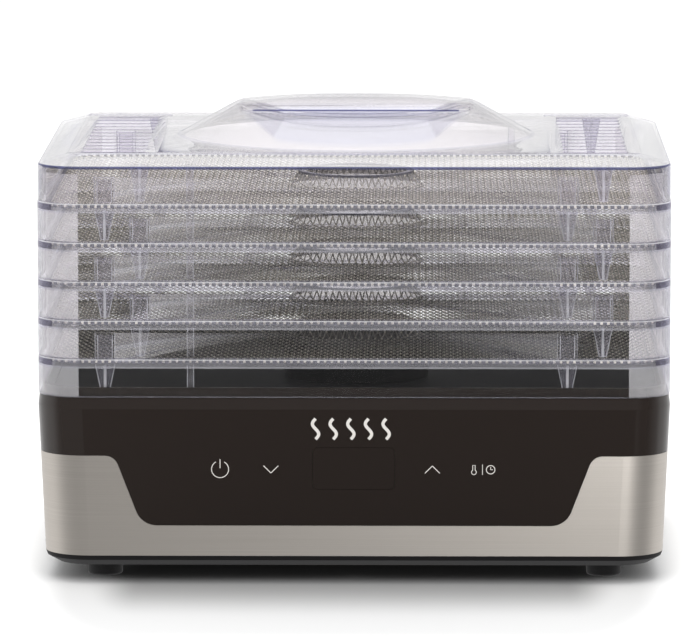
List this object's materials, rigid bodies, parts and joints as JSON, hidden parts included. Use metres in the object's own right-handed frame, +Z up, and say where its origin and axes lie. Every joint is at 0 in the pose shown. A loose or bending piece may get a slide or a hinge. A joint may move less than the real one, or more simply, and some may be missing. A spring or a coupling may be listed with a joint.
{
  "type": "food dehydrator",
  "caption": "Rectangular food dehydrator: heated fan base with touch panel, stacking clear trays with mesh inserts, and a clear vented lid with a domed grip.",
  "frame": {"origin": "on the table, under the middle of the base", "axes": "+X to the right of someone who faces the control panel, +Y towards the back, +Z up"},
  "size_m": [0.3424, 0.2624, 0.254],
  "materials": {
    "clear_tray_plastic": "clear moulded",
    "clear_lid_plastic": "clear moulded",
    "food_mesh": "woven mesh",
    "gloss_black": "gloss",
    "brushed_steel": "brushed",
    "smoked_window": "gloss",
    "black_plastic": "fine texture",
    "rubber": "matte",
    "zinc_steel": "plated",
    "heater_steel": "plain",
    "mica": "layered",
    "resistance_wire": "drawn wire",
    "motor_steel": "plated",
    "bronze": "sintered",
    "core_laminations": "stacked sheet",
    "enamelled_copper": "enamelled wire",
    "fan_plastic": "moulded",
    "shaft_steel": "ground",
    "circuit_board": "solder mask",
    "display_plastic": "gloss",
    "spring_steel": "plated",
    "component_black": "moulded",
    "component_blue": "sleeved",
    "terminal_plastic": "moulded",
    "lead_sleeve": "soft sleeve",
    "ribbon_plastic": "flat cable"
  },
  "bodies": {
    "base": {"upper_housing": "gloss_black", "steel_wrap": "brushed_steel", "display_window": "smoked_window", "lower_pan": "black_plastic", "foot_left_front": "rubber", "foot_left_back": "rubber", "foot_right_front": "rubber", "foot_right_back": "rubber", "housing_screws": "zinc_steel", "motor_screws": "zinc_steel", "deck_screws": "zinc_steel", "air_deck": "black_plastic", "outlet_grille": "black_plastic", "heater_ring": "heater_steel", "mica_cross": "mica", "heating_coil": "resistance_wire", "thermal_fuse": "heater_steel", "fan_shroud": "heater_steel", "motor_can": "motor_steel", "motor_bracket": "motor_steel", "shaft_bushes": "bronze", "stator_core": "core_laminations", "stator_windings": "enamelled_copper", "control_board": "circuit_board", "display_module": "display_plastic", "touch_springs": "spring_steel", "power_board": "circuit_board", "board_relay": "component_black", "board_capacitor": "component_blue", "board_transformer": "core_laminations", "terminal_block": "terminal_plastic", "cord_gland": "black_plastic", "heater_lead": "lead_sleeve", "motor_lead": "lead_sleeve", "ribbon_headers": "component_black", "ribbon_cable": "ribbon_plastic"},
    "fan": {"fan_impeller": "fan_plastic", "motor_shaft": "shaft_steel", "motor_rotor": "core_laminations"},
    "tray_unit_5": {"tray_5": "clear_tray_plastic", "mesh_insert_5": "food_mesh"},
    "tray_unit_4": {"tray_4": "clear_tray_plastic", "mesh_insert_4": "food_mesh"},
    "tray_unit_3": {"tray_3": "clear_tray_plastic", "mesh_insert_3": "food_mesh"},
    "tray_unit_2": {"tray_2": "clear_tray_plastic", "mesh_insert_2": "food_mesh"},
    "tray_unit_1": {"tray_1": "clear_tray_plastic", "mesh_insert_1": "food_mesh"},
    "lid_unit": {"lid": "clear_lid_plastic"}
  },
  "joints": [
    {"name": "fan_spin", "type": "hinge", "parent": "base", "child": "fan", "pos_m": [0, 0, 0.0675], "axis": [0, 0, 1], "continuous": true},
    {"name": "tray_5_lift", "type": "slide", "parent": "base", "child": "tray_unit_5", "axis": [0, 0, 1], "range_m": [0, 0.04]},
    {"name": "tray_4_lift", "type": "slide", "parent": "tray_unit_5", "child": "tray_unit_4", "axis": [0, 0, 1], "range_m": [0, 0.04]},
    {"name": "tray_3_lift", "type": "slide", "parent": "tray_unit_4", "child": "tray_unit_3", "axis": [0, 0, 1], "range_m": [0, 0.04]},
    {"name": "tray_2_lift", "type": "slide", "parent": "tray_unit_3", "child": "tray_unit_2", "axis": [0, 0, 1], "range_m": [0, 0.04]},
    {"name": "tray_1_lift", "type": "slide", "parent": "tray_unit_2", "child": "tray_unit_1", "axis": [0, 0, 1], "range_m": [0, 0.04]},
    {"name": "lid_lift", "type": "slide", "parent": "tray_unit_1", "child": "lid_unit", "axis": [0, 0, 1], "range_m": [0, 0.04]}
  ]
}
